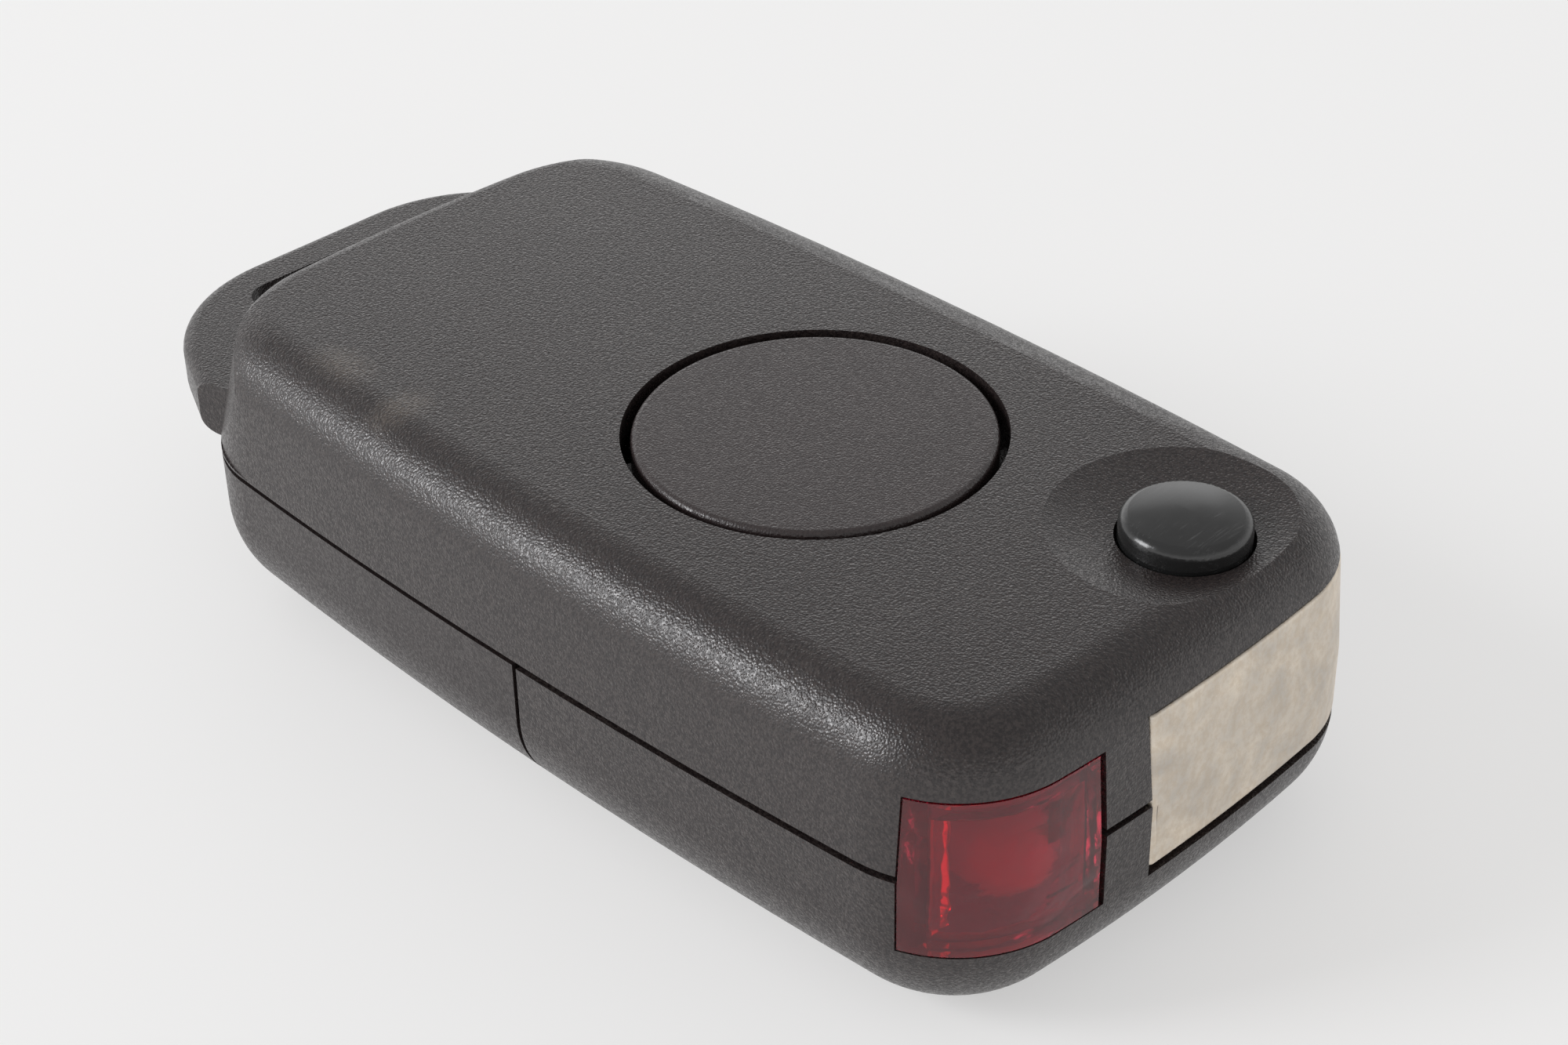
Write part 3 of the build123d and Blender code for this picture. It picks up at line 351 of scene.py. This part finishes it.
# %% Smear group
smear, smear_in, smear_out = effect_group(
    "rubbed_smear",
    {"X mm": 0.0, "Y mm": 0.0, "Half Length mm": 2.0, "Half Width mm": 1.0},
    ["Mask"],
)
in_mm = place(
    smear, "ShaderNodeVectorMath", {"operation": "SCALE"}, i0=object_place(smear), Scale=1000.0
)
spot = in_mm.outputs[0]
across = place(smear, "ShaderNodeSeparateXYZ", None, i0=spot).outputs
squares = []
for axis, centre, half in (("X", "X mm", "Half Length mm"), ("Y", "Y mm", "Half Width mm")):
    off_centre = math(smear, "SUBTRACT", across[axis], smear_in[centre])
    squares.append(math(smear, "POWER", math(smear, "DIVIDE", off_centre, smear_in[half]), 2.0))
far = math(smear, "SQRT", math(smear, "ADD", *squares))
ragged = math(smear, "ADD", far, math(smear, "SUBTRACT", noise(smear, spot, 1.1, 4.0, 0.7), 0.5))
on_top = window(smear, across["Z"], 15.5, 17.5)
inside = math(smear, "MULTIPLY", window(smear, ragged, 1.1, 0.3), on_top)
dry = window(smear, noise(smear, spot, 7.0, 3.0, 0.7), 0.35, 0.65)
smear.links.new(math(smear, "MULTIPLY", inside, dry), smear_out["Mask"])
print("group:", smear.name, len(smear.nodes), "nodes")

# %% [markdown]
# ### Cloudy patina
#
# The bare key head is nickel silver that has dulled in a pocket. It isn't evenly grey:
# warm and cool clouds a few millimetres wide lie over a fine mottle, with spots of tarnish.
# The group gives them as values, and the material turns them into colour and roughness.

# %% Patina group
patina, patina_in, patina_out = effect_group(
    "cloudy_patina", {"Cloud Size mm": 3.0}, ["Clouds", "Mottle", "Spots"]
)
spot = object_place(patina)
cloud_scale = math(patina, "DIVIDE", 1000.0, patina_in["Cloud Size mm"])
patina.links.new(noise(patina, spot, cloud_scale, 5.0, 0.6, 0.6), patina_out["Clouds"])
mottle = noise(patina, spot, math(patina, "MULTIPLY", cloud_scale, 9.0), 4.0, 0.7)
patina.links.new(mottle, patina_out["Mottle"])
tarnish = noise(patina, spot, math(patina, "MULTIPLY", cloud_scale, 2.6), 6.0, 0.75, 1.2)
patina.links.new(window(patina, tarnish, 0.58, 0.75), patina_out["Spots"])
print("group:", patina.name, len(patina.nodes), "nodes")

# %% [markdown]
# ### Fine scratches
#
# Metal and glossy plastic pick up hairlines. A noise that is squeezed along one axis
# makes short streaks, and a second, slower noise breaks them up so that they don't run
# from edge to edge.

# %% Scratch group
scratches, scratch_in, scratch_out = effect_group(
    "fine_scratches", {"Per Metre": 6000.0, "Stretch": 18.0}, ["Mask", "Height"]
)
spot = object_place(scratches)
squeeze = place(
    scratches,
    "ShaderNodeCombineXYZ",
    None,
    X=scratch_in["Per Metre"],
    Y=math(scratches, "DIVIDE", scratch_in["Per Metre"], scratch_in["Stretch"]),
    Z=scratch_in["Per Metre"],
).outputs[0]
squeezed = place(scratches, "ShaderNodeVectorMath", {"operation": "MULTIPLY"}, i0=spot, i1=squeeze)
streaks = noise(scratches, squeezed.outputs[0], 1.0, 2.0)
thin = window(scratches, streaks, 0.55, 0.75)
broken = window(scratches, noise(scratches, spot, 420.0, 3.0), 0.42, 0.62)
scratches.links.new(math(scratches, "MULTIPLY", thin, broken), scratch_out["Mask"])
scratches.links.new(streaks, scratch_out["Height"])
print("group:", scratches.name, len(scratches.nodes), "nodes")

# %% [markdown]
# ## How a finish is put together
#
# Each finish starts from the Principled shader with plain values. Then the effect groups
# are placed, masks mix one colour into another, and a Bump node turns a height into the
# normal. Values that are the same all over, such as the index of refraction, stay on the
# shader's own sockets.

# %% Helpers for finishes
def finish(name, base, roughness, metallic=0.0, **sockets):
    """A new material with plain shader values, and its tree and shader."""
    material = bpy.data.materials.new(name)
    material.use_nodes = True
    tree = material.node_tree
    shader = tree.nodes["Principled BSDF"]
    shader.inputs["Base Color"].default_value = (*base, 1)
    shader.inputs["Roughness"].default_value = roughness
    shader.inputs["Metallic"].default_value = metallic
    for key, value in sockets.items():
        shader.inputs[key.replace("_", " ")].default_value = value
    material.diffuse_color = (*base, 1)
    return material, tree, shader


def use(tree, group, **values):
    """Places one of the effect groups in a material with its own values."""
    node = tree.nodes.new("ShaderNodeGroup")
    node.node_tree = group
    for key, value in values.items():
        node.inputs[key.replace("_", " ")].default_value = value
    return node.outputs


def tint(tree, factor, dark, light):
    """A colour between two, by a mask."""
    node = place(tree, "ShaderNodeMix", {"data_type": "RGBA"}, Factor=factor)
    for socket, colour in zip((node.inputs[6], node.inputs[7]), (dark, light)):
        if isinstance(colour, bpy.types.NodeSocket):
            tree.links.new(colour, socket)
        else:
            socket.default_value = (*colour, 1)
    return node.outputs[2]


def relief(tree, shader, height, depth_mm):
    """Feeds a height into the shader's normal."""
    bump = place(tree, "ShaderNodeBump", None, Height=height, Distance=depth_mm * MM)
    tree.links.new(bump.outputs[0], shader.inputs["Normal"])


def uneven_gloss(tree, shader, mask, rough, smooth):
    """Roughness that goes from rough where the mask is 0 to smooth where it is 1."""
    spread = place(tree, "ShaderNodeMapRange", None, Value=mask, To_Min=rough, To_Max=smooth)
    tree.links.new(spread.outputs["Result"], shader.inputs["Roughness"])


helpers = (finish, use, tint, relief, uneven_gloss)
print("helpers:", ", ".join(helper.__name__ for helper in helpers))

# %% [markdown]
# ## Black plastics
#
# The two housing halves have the deepest grain. The battery cover and the round button are
# a little smoother and cleaner. They are one recipe with three sets of values: near-black
# base, soft gloss, a pale painted glint on the pip speckle, and dust in between. The top of
# the housing also takes the two smears.

# %% Matte plastic finishes
# painted glint: a pale colour on speckled pip tops, where they would catch the lamps
painted_pip_glint = (0.078, 0.062, 0.058)
dust_colour = (0.27, 0.25, 0.23)
speck_colour = (0.4, 0.38, 0.36)
smear_colour, smear_share = (0.20, 0.165, 0.135), 0.5


def matte_plastic(name, tone, pip_size, pip_depth, gloss, speckle, dusting, smears=()):
    """Grained black plastic with a little dust, and smears given by centre and half sizes."""
    warm_black = (tone * 1.6, tone * 0.95, tone)
    material, tree, shader = finish(name, warm_black, gloss, Specular_IOR_Level=0.65)
    grained = use(tree, grain, Pip_Size_mm=pip_size)
    dusty = use(tree, dust, Amount=dusting)
    dark, light = (tone * 1.2, tone * 0.7, tone * 0.75), (tone * 2.0, tone * 1.2, tone * 1.2)
    patched = tint(tree, grained["Patches"], dark, light)
    # the pale speckle on the pip tops is a painted glint
    base = tint(tree, math(tree, "MULTIPLY", grained["Speckle"], speckle), patched, painted_pip_glint)
    pale = tint(tree, dusty["Mask"], base, dust_colour)
    for x, y, half_length, half_width in smears:
        dry = use(tree, smear, X_mm=x, Y_mm=y, Half_Length_mm=half_length, Half_Width_mm=half_width)
        pale = tint(tree, math(tree, "MULTIPLY", dry["Mask"], smear_share), pale, smear_colour)
    tree.links.new(tint(tree, dusty["Specks"], pale, speck_colour), shader.inputs["Base Color"])
    uneven_gloss(tree, shader, grained["Speckle"], gloss + 0.12, gloss - 0.1)
    relief(tree, shader, grained["Height"], pip_depth)
    return material


top_smears = ((-18.4, -13.0, 2.6, 1.5), (-12.6, -13.6, 1.6, 2.2))
housing_plastic = matte_plastic(
    "housing_plastic",
    tone=0.007,
    pip_size=0.12,
    pip_depth=0.038,
    gloss=0.31,
    speckle=0.42,
    dusting=0.16,
    smears=top_smears,
)
cover_plastic = matte_plastic(
    "cover_plastic",
    tone=0.008,
    pip_size=0.12,
    pip_depth=0.024,
    gloss=0.34,
    speckle=0.28,
    dusting=0.08,
)
button_plastic = matte_plastic(
    "button_plastic",
    tone=0.013,
    pip_size=0.11,
    pip_depth=0.030,
    gloss=0.34,
    speckle=0.30,
    dusting=0.10,
)
print("matte finishes:", housing_plastic.name, cover_plastic.name, button_plastic.name)

# %% [markdown]
# ## The glossy release button
#
# The small button was polished once and has gone satin from thumbs. Its reflection of the
# tent is blurred, with a bright spot on the shoulder. Smudges and hairlines stop it from
# looking like wet paint.

# %% Glossy plastic finish
glossy_black, hairline_grey = (0.015, 0.015, 0.015), (0.06, 0.06, 0.06)
release_plastic, tree, shader = finish(
    "release_plastic", glossy_black, 0.24, Specular_IOR_Level=0.7
)
hair = use(tree, scratches, Per_Metre=9000.0)
smudge = window(tree, noise(tree, object_place(tree), 420.0, 4.0), 0.4, 0.7)
uneven_gloss(tree, shader, smudge, 0.20, 0.30)
tree.links.new(tint(tree, hair["Mask"], glossy_black, hairline_grey), shader.inputs["Base Color"])
relief(tree, shader, hair["Height"], 0.0015)
print("gloss finish:", release_plastic.name)

# %% [markdown]
# ## The red window
#
# The window lets infrared light out and half hides the diode behind deep red. It is clear
# plastic, so it bends light. The colour sits in the shader's base colour, which tints
# what passes through. The moulding has waves, which break what lies behind it into uneven
# glints.

# %% Window finish
window_plastic, tree, shader = finish(
    "window_plastic", (0.92, 0.03, 0.09), 0.06, Transmission_Weight=0.955, IOR=1.58
)
waves = noise(tree, object_place(tree), 330.0, 2.0, 0.4, 0.8)
relief(tree, shader, waves, 0.16)
print("window finish:", window_plastic.name)

# %% [markdown]
# ## Metals
#
# The key head shows most: dulled nickel silver with warm clouds. The blade is milled
# steel, and pins, springs and screws are plain drawn steel. Cells, contacts and leads
# are bright, because they are hidden and stay clean.

# %% Metal finishes
def dull_metal(name, dark, light, stain, roughness, cloud_size):
    """Bare metal with wide clouds from dark to light, a fine mottle and stains."""
    material, tree, shader = finish(name, light, roughness, 1.0)
    cloudy = use(tree, patina, Cloud_Size_mm=cloud_size)
    hair = use(tree, scratches)
    base = tint(tree, window(tree, cloudy["Clouds"], 0.3, 0.7), dark, light)
    fine = window(tree, cloudy["Mottle"], 0.42, 0.6)
    mottled = tint(tree, math(tree, "MULTIPLY", fine, 0.3), base, stain)
    stained = tint(tree, math(tree, "MULTIPLY", cloudy["Spots"], 0.3), mottled, stain)
    tree.links.new(stained, shader.inputs["Base Color"])
    uneven_gloss(tree, shader, cloudy["Mottle"], roughness + 0.12, roughness - 0.1)
    height = math(tree, "ADD", cloudy["Mottle"], math(tree, "MULTIPLY", hair["Height"], 0.4))
    relief(tree, shader, height, 0.006)
    return material


head_metal = dull_metal(
    "head_metal",
    dark=(0.55, 0.51, 0.46),
    light=(0.83, 0.74, 0.62),
    stain=(0.49, 0.37, 0.24),
    roughness=0.40,
    cloud_size=4.2,
)
blade_steel = dull_metal(
    "blade_steel",
    dark=(0.5, 0.48, 0.45),
    light=(0.66, 0.64, 0.61),
    stain=(0.4, 0.36, 0.3),
    roughness=0.32,
    cloud_size=5.0,
)
spring_steel = dull_metal(
    "spring_steel",
    dark=(0.35, 0.35, 0.36),
    light=(0.5, 0.5, 0.51),
    stain=(0.3, 0.27, 0.24),
    roughness=0.3,
    cloud_size=1.5,
)
cell_steel = dull_metal(
    "cell_steel",
    dark=(0.62, 0.62, 0.63),
    light=(0.74, 0.74, 0.75),
    stain=(0.6, 0.58, 0.55),
    roughness=0.25,
    cloud_size=6.0,
)
tinned_metal = dull_metal(
    "tinned_metal",
    dark=(0.62, 0.61, 0.58),
    light=(0.78, 0.77, 0.74),
    stain=(0.6, 0.56, 0.5),
    roughness=0.28,
    cloud_size=1.0,
)
capacitor_can = dull_metal(
    "capacitor_can",
    dark=(0.55, 0.55, 0.57),
    light=(0.66, 0.66, 0.68),
    stain=(0.5, 0.5, 0.5),
    roughness=0.35,
    cloud_size=2.0,
)
print("head metal:", len(head_metal.node_tree.nodes), "nodes, and five more metals like it")

# %% [markdown]
# ## Circuit board and small parts
#
# The board is glass laminate under green solder mask, with copper tracks that show as
# lighter lines. Real tracks follow a layout. Here the joints of a brick pattern stand for
# them, since the board only shows when the cover is off.

# %% Board finish
board_laminate, tree, shader = finish("board_laminate", (0.03, 0.19, 0.09), 0.35)
spot = object_place(tree)
tracks = place(
    tree,
    "ShaderNodeTexBrick",
    {"offset": 0.35},
    Vector=spot,
    Scale=330.0,
    Mortar_Size=0.035,
    Mortar_Smooth=0.3,
)
lines = tracks.outputs["Fac"]
bare_mask, over_copper = (0.02, 0.14, 0.065), (0.06, 0.28, 0.12)
tree.links.new(tint(tree, lines, bare_mask, over_copper), shader.inputs["Base Color"])
weave = math(tree, "MULTIPLY", noise(tree, spot, 2600.0, 2.0), 0.2)
relief(tree, shader, math(tree, "ADD", math(tree, "MULTIPLY", lines, 0.6), weave), 0.03)
print("board finish:", board_laminate.name)

# %% [markdown]
# ### Small moulded parts
#
# The chip, the switch, the resonator and the battery tray are plain mouldings. One recipe
# does them all: an uneven skin that changes the colour a little and the normal too. The
# diode is milky clear, so it shows as a pale bulb behind the window.

# %% Finishes of the small parts
def moulded(name, base, roughness, **sockets):
    """Plain moulded plastic or ceramic with a slight, uneven skin."""
    material, tree, shader = finish(name, base, roughness, **sockets)
    skin = noise(tree, object_place(tree), 1400.0, 3.0)
    darker = [channel * 0.82 for channel in base]
    tree.links.new(tint(tree, skin, darker, base), shader.inputs["Base Color"])
    relief(tree, shader, skin, 0.01)
    return material


chip_plastic = moulded("chip_plastic", (0.02, 0.02, 0.022), 0.5)
switch_plastic = moulded("switch_plastic", (0.6, 0.58, 0.53), 0.45)
resonator_plastic = moulded("resonator_plastic", (0.7, 0.4, 0.08), 0.4)
tray_plastic = moulded("tray_plastic", (0.05, 0.05, 0.052), 0.5)
diode_plastic = moulded("diode_plastic", (0.75, 0.66, 0.66), 0.08, Transmission_Weight=0.6)
small = (chip_plastic, switch_plastic, resonator_plastic, tray_plastic, diode_plastic)
print("small finishes:", ", ".join(material.name for material in small))

# %% [markdown]
# ## Dress the CAD pieces
#
# Each node takes the finish of its material slot in the record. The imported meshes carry
# the CAD's own normals, so nothing here smooths them or marks an edge.

# %% Assign the finishes
finishes = {
    "housing_plastic": housing_plastic,
    "cover_plastic": cover_plastic,
    "button_plastic": button_plastic,
    "release_plastic": release_plastic,
    "window_plastic": window_plastic,
    "head_metal": head_metal,
    "blade_steel": blade_steel,
    "spring_steel": spring_steel,
    "board_laminate": board_laminate,
    "tinned_metal": tinned_metal,
    "chip_plastic": chip_plastic,
    "switch_plastic": switch_plastic,
    "diode_plastic": diode_plastic,
    "resonator_plastic": resonator_plastic,
    "capacitor_can": capacitor_can,
    "cell_steel": cell_steel,
    "tray_plastic": tray_plastic,
}
slot_of = {part["node"]: part["material_slot"] for part in frame["record"]["subparts"]}
for name, node in nodes.items():
    node.data.materials.clear()
    node.data.materials.append(finishes[slot_of[name]])
print("dressed nodes:", len(nodes))

# %% [markdown]
# ## The springs
#
# Both coil springs sit between two bodies, so a rigid spring would cut into one of them
# when its joint moves. The release spring gets shorter by the button's stroke, and the flip
# spring winds up: its lower leg stays in the housing and its upper leg turns with the key.
# Here the release spring only gets a mesh of its own. The flip spring is copied into a piece
# of its own, which stands for the node, the node is hidden and the coil's height is printed.

# %% Give the springs meshes of their own
low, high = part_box("release_spring")
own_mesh(nodes["release_spring"])

low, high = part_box("flip_spring")
winding_spring = bpy.data.objects.new("winding_spring", nodes["flip_spring"].data.copy())
bpy.context.scene.collection.objects.link(winding_spring)
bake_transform(winding_spring)
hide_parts("flip_spring")
coil_height = round((high.z - low.z) / MM, 1)
print("flip spring is", coil_height, "mm high")
